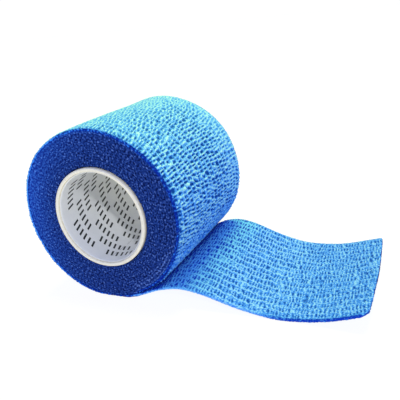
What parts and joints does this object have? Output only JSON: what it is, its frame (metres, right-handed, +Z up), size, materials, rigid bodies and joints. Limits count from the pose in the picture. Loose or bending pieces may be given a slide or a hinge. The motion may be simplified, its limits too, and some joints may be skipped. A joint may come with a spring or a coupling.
{
  "type": "cohesive elastic bandage tape roll with a loose end",
  "caption": "Roll of blue crinkled elastic sports tape on a paperboard core, with a short loose end that curves out and lies flat.",
  "frame": {"origin": "on the flat spot that the roll rests on, straight under the middle of the roll's axis", "axes": "+X along the loose end, away from the roll; Y along the roll's axis; +Z up"},
  "size_m": [0.1082, 0.0512, 0.0555],
  "materials": {
    "tape_cloth": "matt crinkled elastic cloth, mid blue outside and deep blue on the wound end faces",
    "core_board": "cream paperboard, cut edge",
    "liner_paper": "smooth light grey paper"
  },
  "bodies": {
    "root": {"tape": "tape_cloth", "core": "core_board", "core_liner": "liner_paper"}
  },
  "joints": []
}
